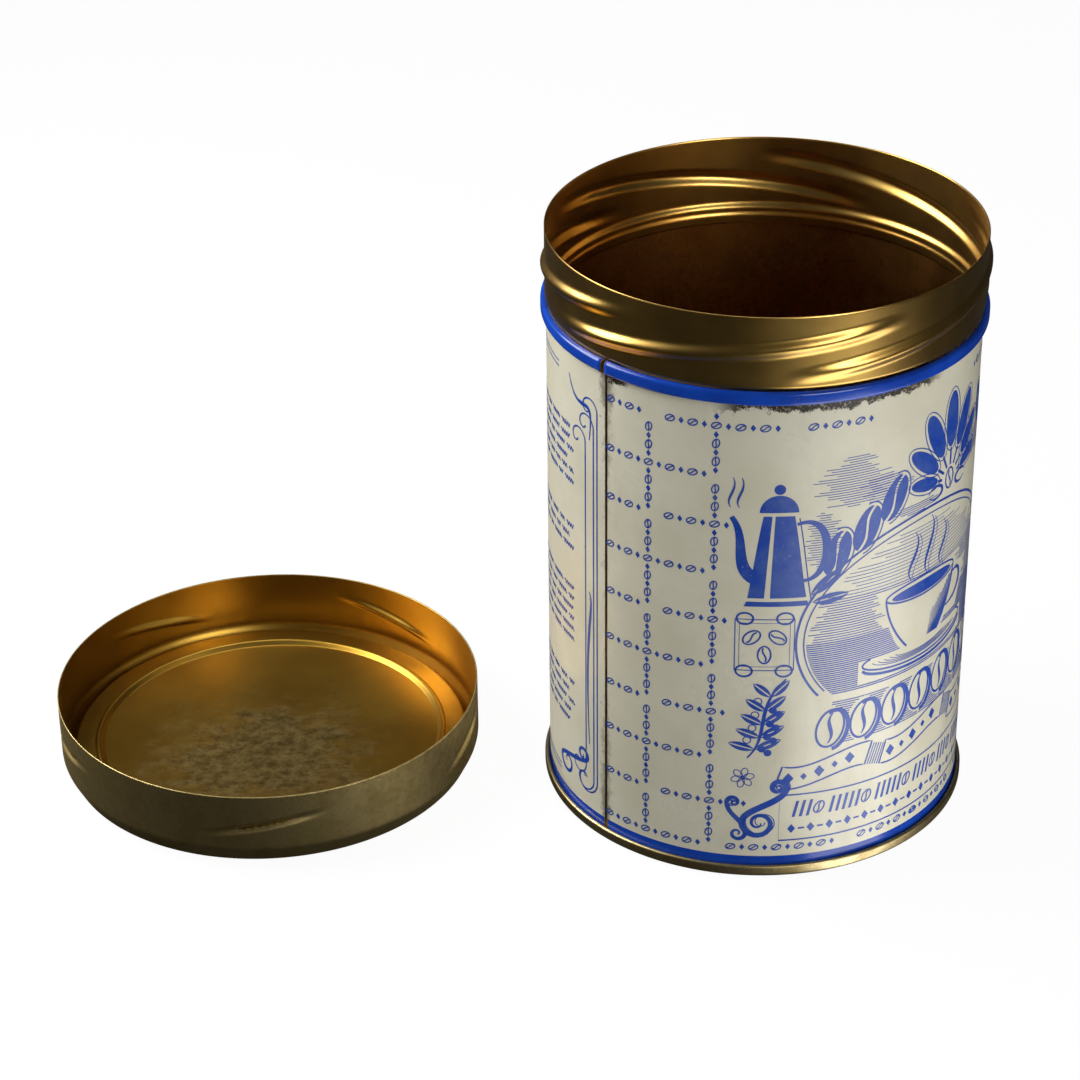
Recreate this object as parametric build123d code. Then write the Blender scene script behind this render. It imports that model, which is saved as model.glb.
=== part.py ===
from build123d import *
import math
import os

# Screw-top coffee tin, open, with its lid lying upside down beside it.
# The origin is the centre of the tin's base, on the surface it stands on, and +Z is up.
# Radii are measured from the tin's axis, or from the lid's own axis on the lid.

# ---- sheet metal ----
SHEET = 0.30                    # tinplate thickness
HALF = SHEET / 2

# ---- tin, overall ----
TIN_HEIGHT = 146.5              # base to the collar's rim
WALL_R = 50.51                  # middle of the body wall's sheet
SEAM_ANGLE = -47.4              # side seam, degrees from the front (-Y), towards +X

# ---- rolled bead at the top of the body wall ----
BEAD_R = 51.85                  # middle of the sheet at the bead's widest
BEAD_TOP = 128.55
BEAD_BOTTOM = 125.55
BEAD_TUCK_R = 50.92             # where the rolled edge ends, against the wall
BEAD_GAP = 1.0                  # the bead stops short on each side of the seam

# ---- lock seam down the side ----
SEAM_GROOVE_WIDTH = 0.7
SEAM_GROOVE_DEPTH = 0.10
SEAM_FOLD_WIDTH = 3.2           # the folded layers inside the wall
SEAM_FOLD_THICKNESS = 0.60

# ---- bottom double seam: layers from the inside out ----
CHUCK_WALL_R = 50.19
COVER_HOOK_R = 50.95
BODY_HOOK_R = 51.35
SEAMING_WALL_R = 51.80
SEAM_HEIGHT = 3.0
BODY_FLANGE_Z = 0.62
BODY_HOOK_TOP = 2.20
COVER_HOOK_END = 1.05
PANEL_Z = 3.40                  # outer ring of the bottom panel
PANEL_CENTRE_Z = 2.60           # middle of the panel, stepped down
PANEL_STEP_R = 38.0

# ---- threaded collar ----
COLLAR_R = 50.85                # middle of the sheet between the threads
SKIRT_R = 50.17                 # middle of the skirt that goes down inside the wall
COLLAR_BOTTOM = 124.3
HEM_TOP = 126.4                 # the lower edge is folded in, so it is thicker to here
HEM_R = 49.72                   # inner face of the hem
STEP_BOTTOM = 128.1
STEP_TOP = 129.6                # the skirt has widened to the collar's radius here
THREAD_STARTS = 5
THREAD_LEAD = 36.0              # rise in a full turn
THREAD_SPAN = 108.0             # degrees that each ridge runs
THREAD_FIRST = -72.0            # where one ridge begins, degrees from the front
THREAD_LOW = 131.6              # height of a ridge where it begins
THREAD_DEPTH = 0.95
THREAD_WIDTH = 2.2              # half the ridge's width, up and down
THREAD_FADE = 24.0              # degrees over which a ridge runs out

# ---- lid, lying upside down: its skirt's rim is up ----
LID_X = -121.4
LID_Y = 7.3
LID_HEIGHT = 19.4
LID_R = 52.40                   # middle of the skirt's sheet
LID_CORNER = 5.6                # height where the straight skirt ends
LID_BEND_Z = 4.4                # the rounded edge slants in from here
LID_FOOT_R = 50.3               # to here, where the lid rests
CHANNEL_R = 49.15               # wall between the rounded edge and the recessed panel
PANEL_LIFT = 4.05               # recess depth of the panel, here its height
RIB_OUTER_R = 44.3
RIB_R = 43.4
RIB_INNER_R = 42.2
RIB_LIFT = 4.95
CENTRE_LIFT = 3.55
LUG_COUNT = 5
LUG_FIRST = 3.0                 # angle of one lug's middle, degrees from the front
LUG_Z = 11.2                    # height of a lug's middle
LUG_SPAN = 36.0
LUG_SLOPE = 0.16                # mm up for each degree round
LUG_DEPTH = 0.85
LUG_WIDTH = 1.35                # half the lug's width, up and down
LUG_FADE = 15.0

RING_STEPS = 180                # points round each horizontal section


def offset_points(points, amount):
    """Points moved sideways by amount, to the left of the path, mitred at the corners."""
    moved = []
    last = len(points) - 1
    for i, (r, z) in enumerate(points):
        before = points[max(i - 1, 0)]
        after = points[min(i + 1, last)]
        into = (Vector(r, z) - Vector(*before)) if i > 0 else (Vector(*after) - Vector(r, z))
        out = (Vector(*after) - Vector(r, z)) if i < last else into
        into = into.normalized()
        out = out.normalized()
        normal_in = Vector(-into.Y, into.X)
        normal_out = Vector(-out.Y, out.X)
        mitre = normal_in + normal_out
        mitre = mitre * (2.0 * amount / mitre.dot(mitre))
        moved.append((r + mitre.X, z + mitre.Y))
    return moved


def corner_radii(points, radii, amount):
    """Fillet radii for the path moved left by amount, so that both sides share centres."""
    changed = []
    for i, radius in enumerate(radii):
        a = Vector(*points[i + 1]) - Vector(*points[i])
        b = Vector(*points[i + 2]) - Vector(*points[i + 1])
        turn = a.X * b.Y - a.Y * b.X
        changed.append(radius - amount if turn > 0 else radius + amount)
    return changed


def side_line(points, radii):
    """A polyline in the XZ plane with a fillet at each inner corner."""
    corners = [(r, 0, z) for r, z in points]
    if len(points) == 2:
        return Line(corners[0], corners[1])
    return FilletPolyline(*corners, radius=radii)


def sheet_ring(points, radii):
    """Revolve a strip of sheet whose middle follows the given path of (radius, height)."""
    left = offset_points(points, HALF)
    right = offset_points(points, -HALF)
    left_side = side_line(left, corner_radii(points, radii, HALF))
    right_side = side_line(right, corner_radii(points, radii, -HALF))
    start = Line((left[0][0], 0, left[0][1]), (right[0][0], 0, right[0][1]))
    end = Line((left[-1][0], 0, left[-1][1]), (right[-1][0], 0, right[-1][1]))
    outline = Wire(list(left_side.edges()) + [end] + list(right_side.edges()) + [start])
    return revolve(Face(outline), Axis.Z, 360)


def smooth(x):
    """0 at x <= 0, 1 at x >= 1, and level at both ends."""
    x = min(max(x, 0.0), 1.0)
    return x * x * (3.0 - 2.0 * x)


def bump(distance, half_width):
    """Rounded ridge section: 1 in the middle and 0 at half_width."""
    x = abs(distance) / half_width
    if x >= 1.0:
        return 0.0
    return (0.5 + 0.5 * math.cos(math.pi * x)) ** 0.85


def thread_lift(angle, z):
    """How far the collar's sheet stands out at an angle and height."""
    lift = 0.0
    for start in range(THREAD_STARTS):
        first = THREAD_FIRST + start * 360.0 / THREAD_STARTS
        along = (angle - first) % 360.0
        if along > THREAD_SPAN:
            continue
        middle = THREAD_LOW + along * THREAD_LEAD / 360.0
        fade = smooth(along / THREAD_FADE) * smooth((THREAD_SPAN - along) / THREAD_FADE)
        lift += THREAD_DEPTH * fade * bump(z - middle, THREAD_WIDTH)
    return lift


def lug_lift(angle, z):
    """How far the lid's sheet stands in at an angle and height, as a negative number."""
    lift = 0.0
    for lug in range(LUG_COUNT):
        middle = LUG_FIRST + lug * 360.0 / LUG_COUNT
        along = (angle - middle + 180.0) % 360.0 - 180.0
        if abs(along) > LUG_SPAN / 2:
            continue
        fade = smooth((LUG_SPAN / 2 - abs(along)) / LUG_FADE)
        lift -= LUG_DEPTH * fade * bump(z - LUG_Z - along * LUG_SLOPE, LUG_WIDTH)
    return lift


def section(radius, z, lift):
    """Closed smooth outline at one height, at radius plus lift(angle, z)."""
    points = []
    for step in range(RING_STEPS):
        angle = 360.0 * step / RING_STEPS
        r = radius + lift(angle, z)
        turn = math.radians(angle)
        points.append((r * math.sin(turn), -r * math.cos(turn), z))
    evenly = [step / RING_STEPS for step in range(RING_STEPS + 1)]
    return Wire([Edge.make_spline(points, periodic=True, parameters=evenly)])


def heights(*runs):
    """Heights from runs of (bottom, top, spacing), each top shared with the next bottom."""
    levels = [runs[0][0]]
    for bottom, top, spacing in runs:
        count = max(1, round((top - bottom) / spacing))
        levels += [bottom + (top - bottom) * i / count for i in range(1, count + 1)]
    return levels


def collar_middle(z):
    """Radius of the middle of the collar's sheet between the threads."""
    return SKIRT_R + (COLLAR_R - SKIRT_R) * smooth((z - STEP_BOTTOM) / (STEP_TOP - STEP_BOTTOM))


def collar_inside(z):
    """Inner radius of the collar between the threads, with the hem at its lower edge."""
    plain = collar_middle(z) - HALF
    hem = 1.0 - smooth((z - HEM_TOP) / 0.7)
    return plain + (HEM_R - plain) * hem


def on_level(face, z):
    """Whether a face lies flat at height z."""
    box = face.bounding_box()
    return abs(box.min.Z - z) < 0.01 and abs(box.max.Z - z) < 0.01


def make_body_wall():
    """Printed wall: hooked at the bottom, rolled out at the top, closed by a lock seam."""
    wall = sheet_ring(
        [
            (BODY_HOOK_R, BODY_HOOK_TOP),
            (BODY_HOOK_R, BODY_FLANGE_Z),
            (WALL_R, BODY_FLANGE_Z),
            (WALL_R, BEAD_TOP),
            (BEAD_R, BEAD_TOP),
            (BEAD_R, BEAD_BOTTOM),
            (BEAD_TUCK_R, BEAD_BOTTOM),
        ],
        [0.38, 0.40, 0.52, 0.74, 0.70],
    )
    inner = WALL_R - HALF
    fold_height = COLLAR_BOTTOM - 0.5 - (PANEL_Z + 0.9)
    fold = Box(SEAM_FOLD_WIDTH, SEAM_FOLD_THICKNESS + 0.1, fold_height)
    fold = Pos(0, -inner + SEAM_FOLD_THICKNESS / 2 - 0.05, PANEL_Z + 0.9 + fold_height / 2) * fold
    groove_height = BEAD_BOTTOM - HALF - SEAM_HEIGHT - 0.3
    groove = Box(SEAM_GROOVE_WIDTH, 2 * SEAM_GROOVE_DEPTH, groove_height)
    groove = Pos(0, -(WALL_R + HALF), SEAM_HEIGHT + 0.15 + groove_height / 2) * groove
    gap = Box(BEAD_GAP, 3.0, BEAD_TOP - BEAD_BOTTOM + 1.0)
    gap = Pos(0, -(WALL_R + HALF + 0.12 + 1.5), (BEAD_TOP + BEAD_BOTTOM) / 2) * gap
    turn = Rot(0, 0, SEAM_ANGLE)
    return wall + turn * fold - turn * groove - turn * gap


def make_neck_ring():
    """Gold collar: skirt with a hemmed edge, a step over the bead, and five thread ridges."""
    levels = heights(
        (COLLAR_BOTTOM, HEM_TOP, 0.7),
        (HEM_TOP, HEM_TOP + 0.7, 0.175),
        (HEM_TOP + 0.7, STEP_BOTTOM, 0.5),
        (STEP_BOTTOM, STEP_TOP, 0.25),
        (STEP_TOP, THREAD_LOW + THREAD_LEAD * THREAD_SPAN / 360.0 + THREAD_WIDTH, 0.5),
        (THREAD_LOW + THREAD_LEAD * THREAD_SPAN / 360.0 + THREAD_WIDTH, TIN_HEIGHT, 0.8),
    )
    outside = [section(collar_middle(z) + HALF, z, thread_lift) for z in levels]
    inside = [section(collar_inside(z), z, thread_lift) for z in levels]
    return Solid.make_loft(outside) - Solid.make_loft(inside)


def make_bottom_end():
    """Stamped end: stepped panel, chuck wall, and the outer layers of the double seam."""
    return sheet_ring(
        [
            (0.0, PANEL_CENTRE_Z),
            (PANEL_STEP_R, PANEL_CENTRE_Z),
            (PANEL_STEP_R + 1.4, PANEL_Z),
            (CHUCK_WALL_R, PANEL_Z),
            (CHUCK_WALL_R, HALF),
            (SEAMING_WALL_R, HALF),
            (SEAMING_WALL_R, SEAM_HEIGHT - HALF),
            (COVER_HOOK_R, SEAM_HEIGHT - HALF),
            (COVER_HOOK_R, COVER_HOOK_END),
        ],
        [1.0, 1.0, 0.7, 0.45, 0.85, 0.40, 0.40],
    )


def make_seam_compound():
    """Ring of sealing compound above the body hook, under the fold of the seam."""
    inner = COVER_HOOK_R + HALF + 0.13
    outer = SEAMING_WALL_R - HALF - 0.13
    bottom = BODY_HOOK_TOP + 0.04
    top = SEAM_HEIGHT - SHEET - 0.06
    ring = Cylinder(outer, top - bottom) - Cylinder(inner, top - bottom)
    return Pos(0, 0, (top + bottom) / 2) * ring


def make_lid():
    """Drawn cap, upside down: plain skirt with five pressed lugs, and a recessed ribbed panel."""
    pan = sheet_ring(
        [
            (LID_R, LID_CORNER),
            (LID_R, LID_BEND_Z),
            (LID_FOOT_R, HALF),
            (CHANNEL_R, HALF),
            (CHANNEL_R, PANEL_LIFT),
            (RIB_OUTER_R, PANEL_LIFT),
            (RIB_R, RIB_LIFT),
            (RIB_INNER_R, CENTRE_LIFT),
            (0.0, CENTRE_LIFT),
        ],
        [3.0, 1.0, 0.5, 0.5, 0.6, 0.65, 0.6],
    )
    levels = heights((LID_CORNER, LID_HEIGHT, 0.46))
    outside = [section(LID_R + HALF, z, lug_lift) for z in levels]
    inside = [section(LID_R - HALF, z, lug_lift) for z in levels]
    skirt = Solid.make_loft(outside) - Solid.make_loft(inside)
    faces = [face for face in pan.faces() + skirt.faces() if not on_level(face, LID_CORNER)]
    return Pos(LID_X, LID_Y, 0) * Solid(Shell(faces))


PIECES = {
    "body_wall": make_body_wall,
    "neck_ring": make_neck_ring,
    "bottom_end": make_bottom_end,
    "seam_compound": make_seam_compound,
    "lid": make_lid,
}

os.makedirs("parts", exist_ok=True)
for name, make in PIECES.items():
    piece = make()
    export_step(piece, f"parts/{name}.step")
    print(name, "solids", len(piece.solids()), "volume", round(piece.volume, 1), "mm3")
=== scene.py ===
import bpy
import bmesh
import math
import random
from mathutils import Matrix, Vector


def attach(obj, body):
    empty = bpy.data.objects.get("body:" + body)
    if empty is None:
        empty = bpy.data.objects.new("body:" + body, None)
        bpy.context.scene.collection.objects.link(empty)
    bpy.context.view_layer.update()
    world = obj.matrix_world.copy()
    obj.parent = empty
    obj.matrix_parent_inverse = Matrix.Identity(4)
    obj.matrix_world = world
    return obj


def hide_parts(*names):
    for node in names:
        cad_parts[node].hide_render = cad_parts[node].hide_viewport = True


# Looks for the open coffee tin and its upturned lid. Units are metres; the helpers below take mm.
# An angle is in degrees from the front (-Y), growing towards +X.

MM = 0.001
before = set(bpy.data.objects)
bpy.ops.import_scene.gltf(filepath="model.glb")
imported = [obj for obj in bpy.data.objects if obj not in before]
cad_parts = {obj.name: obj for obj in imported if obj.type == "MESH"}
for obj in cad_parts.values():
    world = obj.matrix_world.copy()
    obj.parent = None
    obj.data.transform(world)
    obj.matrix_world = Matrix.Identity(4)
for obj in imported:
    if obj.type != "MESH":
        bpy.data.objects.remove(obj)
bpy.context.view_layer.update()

# ---- shape, in mm, as in the CAD model ----
WALL_OUT = 50.66
WALL_IN = 50.36
BEAD_LOW = 125.35                  # underside of the rolled bead
BAND_TOP = 5.2                     # blue band round the foot of the wall
SEAM_ANGLE = -47.4
THREAD_STARTS = 5
THREAD_FIRST = -72.0               # angle where one ridge begins
THREAD_SPAN = 108.0                # degrees that each thread ridge runs
THREAD_FADE = 24.0                 # degrees over which a ridge runs out
THREAD_LOW = 131.6                 # height of a ridge where it begins
THREAD_RISE = 0.1                  # mm up for each degree round
THREAD_DEPTH = 0.95
THREAD_WIDTH = 2.2                 # half the ridge's width, up and down
LID_AXIS = (-121.4, 7.3)
LID_HEIGHT = 19.4
WORN_FORWARD = 11.0                # the rubbed patch in the lid lies this far in front of its axis
LID_SKIRT_R = 52.40                # middle of the skirt's sheet
LID_SKIRT_LOW = 5.6                # height where the straight skirt ends
LUG_COUNT = 5
LUG_FIRST = 3.0                    # angle of one lug's middle
LUG_HALF = 18.0                    # degrees from a lug's middle to its end
LUG_FADE = 15.0
LUG_Z = 11.2                       # height of a lug's middle
LUG_SLOPE = 0.16                   # mm up for each degree round
LUG_DEPTH = 0.85
LUG_WIDTH = 1.35                   # half the lug's width, up and down
AROUND = 360                       # points round each turned shape

# ---- printed design, in mm and degrees ----
LABEL_AT = 46.0                    # middle of the label
BACK_AT = LABEL_AT - 180.0         # middle of the panel behind
INK_R = WALL_OUT + 0.04
MM_PER_DEGREE = math.radians(1.0) * WALL_OUT
FINE = 0.32                        # width of a fine printed line
ROW_TOP = 119.5                    # lattice rows, from the top one down
ROW_PITCH = 12.42
ROW_COUNT = 10
COLUMN_FIRST = -15.3               # lattice column next to the label
COLUMN_PITCH = 18.3
MEDALLION_Z = 64.0                 # middle of the oval, and half its size inside the rim
MEDALLION_RX = 33.2
MEDALLION_RZ = 25.2
CUP_FOOT = 50.6                    # underside of the saucer in the medallion
ROW_BEANS = 7                      # large beans under the medallion
BEAN_LEAN = 78.0                   # their tilt

# ---- camera ----
CAMERA_AT = (-49.31, -659.83, 438.26)
CAMERA_YAW = -0.0051               # radians, towards +X
CAMERA_PITCH = 0.5169              # radians, downwards
CAMERA_ROLL = -0.0116
CAMERA_LENS = 104.47               # mm on a 36 mm wide sensor


# ------------------------------------------------------------------ camera, light, floor

def make_camera():
    yaw, pitch, roll = CAMERA_YAW, CAMERA_PITCH, CAMERA_ROLL
    forward = Vector((math.sin(yaw) * math.cos(pitch), math.cos(yaw) * math.cos(pitch), -math.sin(pitch)))
    right = Vector((math.cos(yaw), -math.sin(yaw), 0.0))
    up = right.cross(forward)
    rolled_right = right * math.cos(roll) + up * math.sin(roll)
    rolled_up = up * math.cos(roll) - right * math.sin(roll)
    data = bpy.data.cameras.new("camera")
    data.lens = CAMERA_LENS
    data.sensor_width = 36.0
    data.clip_start = 0.01
    data.clip_end = 100.0
    camera = bpy.data.objects.new("camera", data)
    turn = Matrix((rolled_right, rolled_up, -forward)).transposed().to_4x4()
    camera.matrix_world = Matrix.Translation(Vector(CAMERA_AT) * MM) @ turn
    bpy.context.collection.objects.link(camera)
    bpy.context.scene.camera = camera


def area_light(name, at, aim, wide, tall, power):
    data = bpy.data.lights.new(name, "AREA")
    data.shape = "RECTANGLE"
    data.size = wide
    data.size_y = tall
    data.energy = power
    light = bpy.data.objects.new(name, data)
    light.location = Vector(at)
    light.rotation_euler = (Vector(aim) - Vector(at)).to_track_quat("-Z", "Y").to_euler()
    light.visible_camera = False
    bpy.context.collection.objects.link(light)


def make_lights():
    area_light("softbox_left", (-0.46, 0.08, 0.38), (0.0, 0.0, 0.12), 0.38, 0.38, 4.2)
    area_light("softbox_right", (0.37, -0.66, 0.36), (0.0, 0.0, 0.10), 0.36, 0.28, 2.5)
    area_light("softbox_top", (0.0, 0.30, 0.90), (0.0, 0.0, 0.05), 0.45, 0.45, 1.9)
    area_light("floor_card", (0.14, -0.16, -0.03), (0.14, -0.16, 1.0), 0.21, 0.21, 0.44)
    world = bpy.data.worlds.new("studio")
    bpy.context.scene.world = world
    world.use_nodes = True
    background = world.node_tree.nodes["Background"]
    background.inputs["Color"].default_value = (1.0, 0.98, 0.95, 1.0)
    background.inputs["Strength"].default_value = 0.022


def backdrop_material(name, glow, paint):
    """Pale surface that keeps only a trace of shadow."""
    material = bpy.data.materials.new(name)
    material.use_nodes = True
    tree = material.node_tree
    tree.nodes.clear()
    out = tree.nodes.new("ShaderNodeOutputMaterial")
    add = tree.nodes.new("ShaderNodeAddShader")
    emit = tree.nodes.new("ShaderNodeEmission")
    emit.inputs["Color"].default_value = (1.0, 1.0, 1.0, 1.0)
    emit.inputs["Strength"].default_value = glow
    diffuse = tree.nodes.new("ShaderNodeBsdfDiffuse")
    diffuse.inputs["Color"].default_value = (paint, paint, paint, 1.0)
    tree.links.new(emit.outputs[0], add.inputs[0])
    tree.links.new(diffuse.outputs[0], add.inputs[1])
    tree.links.new(add.outputs[0], out.inputs["Surface"])
    return material


def make_floor():
    """Pale floor and a pale wall all round it, seen by the camera only."""
    mesh = bmesh.new()
    bmesh.ops.create_circle(mesh, cap_ends=True, segments=64, radius=12.0)
    bmesh.ops.translate(mesh, verts=mesh.verts, vec=(0.0, 0.0, -0.0004))
    floor = link_mesh("floor", mesh)
    floor.data.materials.append(backdrop_material("floor_paper", 0.955, 0.05))
    mesh = bmesh.new()
    bmesh.ops.create_cone(mesh, segments=64, radius1=11.9, radius2=11.9, depth=24.0)
    wall = link_mesh("backdrop", mesh)
    wall.data.materials.append(backdrop_material("backdrop_paper", 0.99, 0.0))
    for piece in (floor, wall):
        piece.visible_glossy = False
        piece.visible_diffuse = False
        piece.visible_transmission = False
        piece.visible_shadow = False


def link_mesh(name, mesh, smooth=False):
    """Turn a bmesh into an object of the scene."""
    data = bpy.data.meshes.new(name)
    mesh.to_mesh(data)
    mesh.free()
    if smooth:
        data.shade_smooth()
    piece = bpy.data.objects.new(name, data)
    bpy.context.collection.objects.link(piece)
    return piece


# ------------------------------------------------------------------ turned shapes

def smooth_step(x):
    x = min(max(x, 0.0), 1.0)
    return x * x * (3.0 - 2.0 * x)


def bump(distance, half_width):
    x = abs(distance) / half_width
    if x >= 1.0:
        return 0.0
    return (0.5 + 0.5 * math.cos(math.pi * x)) ** 0.85


def from_seam(angle):
    return abs((angle - SEAM_ANGLE + 180.0) % 360.0 - 180.0)


def thread_lift(angle, z, r):
    """Ridges of the collar: five starts, rising to the right as seen from outside."""
    lift = 0.0
    for start in range(THREAD_STARTS):
        along = (angle - THREAD_FIRST - start * 360.0 / THREAD_STARTS) % 360.0
        if along > THREAD_SPAN:
            continue
        middle = THREAD_LOW + along * THREAD_RISE
        fade = smooth_step(along / THREAD_FADE) * smooth_step((THREAD_SPAN - along) / THREAD_FADE)
        lift += THREAD_DEPTH * fade * bump(z - middle, THREAD_WIDTH)
    return lift


def lug_lift(angle, z, r):
    """Lugs of the lid's skirt, pressed in."""
    lift = 0.0
    if r < LID_SKIRT_R - 0.4 or z < LID_SKIRT_LOW:
        return lift
    for lug in range(LUG_COUNT):
        along = (angle - LUG_FIRST - lug * 360.0 / LUG_COUNT + 180.0) % 360.0 - 180.0
        if abs(along) > LUG_HALF:
            continue
        fade = smooth_step((LUG_HALF - abs(along)) / LUG_FADE)
        lift -= LUG_DEPTH * fade * bump(z - LUG_Z - along * LUG_SLOPE, LUG_WIDTH)
    return lift


def wall_lift(angle, z, r):
    """Groove outside and fold inside along the lock seam, and the gap that it leaves in the bead."""
    off = from_seam(angle)
    if z > BEAD_LOW and r > WALL_OUT + 0.06:
        return WALL_OUT + 0.06 - r if off < 0.55 else 0.0
    if 3.2 < z < BEAD_LOW and r > WALL_IN + 0.1:
        return -0.20 if off < 0.32 else 0.0
    if 4.3 < z < 123.8 and r < WALL_IN + 0.1:
        return -0.55 if off < 1.9 else 0.0
    return 0.0


def no_lift(angle, z, r):
    return 0.0


def even_angles():
    return [360.0 * k / AROUND for k in range(AROUND)]


def seam_angles():
    """Even angles, with closer ones at the edges of the side seam."""
    away = [angle for angle in even_angles() if from_seam(angle) > 2.3]
    close = [SEAM_ANGLE + side * off for side in (-1, 1) for off in (0.28, 0.36, 0.5, 0.62, 1.8, 2.0)]
    return sorted(angle % 360.0 for angle in away + close)


def rounded_path(points, radii, step=12.0):
    """Points of (radius, height) with each inner corner rounded, one point per step degrees."""
    path = [points[0]]
    for i, radius in enumerate(radii):
        corner = Vector(points[i + 1])
        back = (Vector(points[i]) - corner).normalized()
        on = (Vector(points[i + 2]) - corner).normalized()
        half = back.angle(on) / 2.0
        reach = radius / math.tan(half)
        centre = corner + (back + on).normalized() * (radius / math.sin(half))
        first = corner + back * reach - centre
        turn = math.pi - 2.0 * half
        last = corner + on * reach - centre
        sign = 1.0 if first.x * last.y - first.y * last.x > 0 else -1.0
        count = max(2, math.ceil(math.degrees(turn) / step))
        for k in range(count + 1):
            a = sign * turn * k / count
            path.append((
                centre.x + first.x * math.cos(a) - first.y * math.sin(a),
                centre.y + first.x * math.sin(a) + first.y * math.cos(a),
            ))
    path.append(points[-1])
    return path


def spread(path, longest, beyond=0.0):
    """The same path with extra points, so that no span past a radius is longer than longest."""
    out = [path[0]]
    for (r0, z0), (r1, z1) in zip(path, path[1:]):
        count = max(1, math.ceil(math.hypot(r1 - r0, z1 - z0) / longest)) if min(r0, r1) > beyond else 1
        out += [(r0 + (r1 - r0) * k / count, z0 + (z1 - z0) * k / count) for k in range(1, count + 1)]
    return out


def cut_at(path, height):
    """The same path with a point added wherever it crosses a height."""
    out = [path[0]]
    for (r0, z0), (r1, z1) in zip(path, path[1:]):
        if (z0 - height) * (z1 - height) < 0.0:
            out.append((r0 + (r1 - r0) * (height - z0) / (z1 - z0), height))
        out.append((r1, z1))
    return out


def turned(name, path, lift=no_lift, axis=(0.0, 0.0), angles=None):
    """Turn a closed path round an axis. A point at radius 0 makes one vertex there."""
    mesh = bmesh.new()
    angles = angles or even_angles()
    rings = []
    for r, z in path:
        if r < 1e-6:
            rings.append([mesh.verts.new((axis[0] * MM, axis[1] * MM, z * MM))])
            continue
        ring = []
        for angle in angles:
            rr = r + lift(angle, z, r)
            a = math.radians(angle)
            at = Vector((axis[0] + rr * math.sin(a), axis[1] - rr * math.cos(a), z))
            ring.append(mesh.verts.new(at * MM))
        rings.append(ring)
    for low, high in zip(rings, rings[1:] + rings[:1]):
        if len(low) == 1 and len(high) == 1:
            continue
        for k in range(len(angles)):
            n = (k + 1) % len(angles)
            if len(low) == 1:
                mesh.faces.new((low[0], high[n], high[k]))
            elif len(high) == 1:
                mesh.faces.new((low[k], low[n], high[0]))
            else:
                mesh.faces.new((low[k], low[n], high[n], high[k]))
    bmesh.ops.recalc_face_normals(mesh, faces=mesh.faces)
    return link_mesh(name, mesh, smooth=True)


def sheet_sides(points, radii, half=0.15, step=12.0):
    """The two sides of a strip of sheet round a middle path: right side, then left side reversed."""
    sides = []
    for amount in (-half, half):
        side = []
        last = len(points) - 1
        for i, point in enumerate(points):
            p = Vector(point)
            out = (Vector(points[i + 1]) - p).normalized() if i < last else None
            into = (p - Vector(points[i - 1])).normalized() if i > 0 else out
            out = out or into
            mitre = Vector((-into.y - out.y, into.x + out.x))
            mitre = mitre * (2.0 * amount / mitre.dot(mitre))
            side.append((p.x + mitre.x, p.y + mitre.y))
        changed = []
        for i, radius in enumerate(radii):
            a = Vector(points[i + 1]) - Vector(points[i])
            b = Vector(points[i + 2]) - Vector(points[i + 1])
            left_turn = a.x * b.y - a.y * b.x > 0
            changed.append(radius - amount if left_turn else radius + amount)
        sides.append(rounded_path(side, changed, step))
    return sides[0], sides[1][::-1]


# ------------------------------------------------------------------ materials

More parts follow.
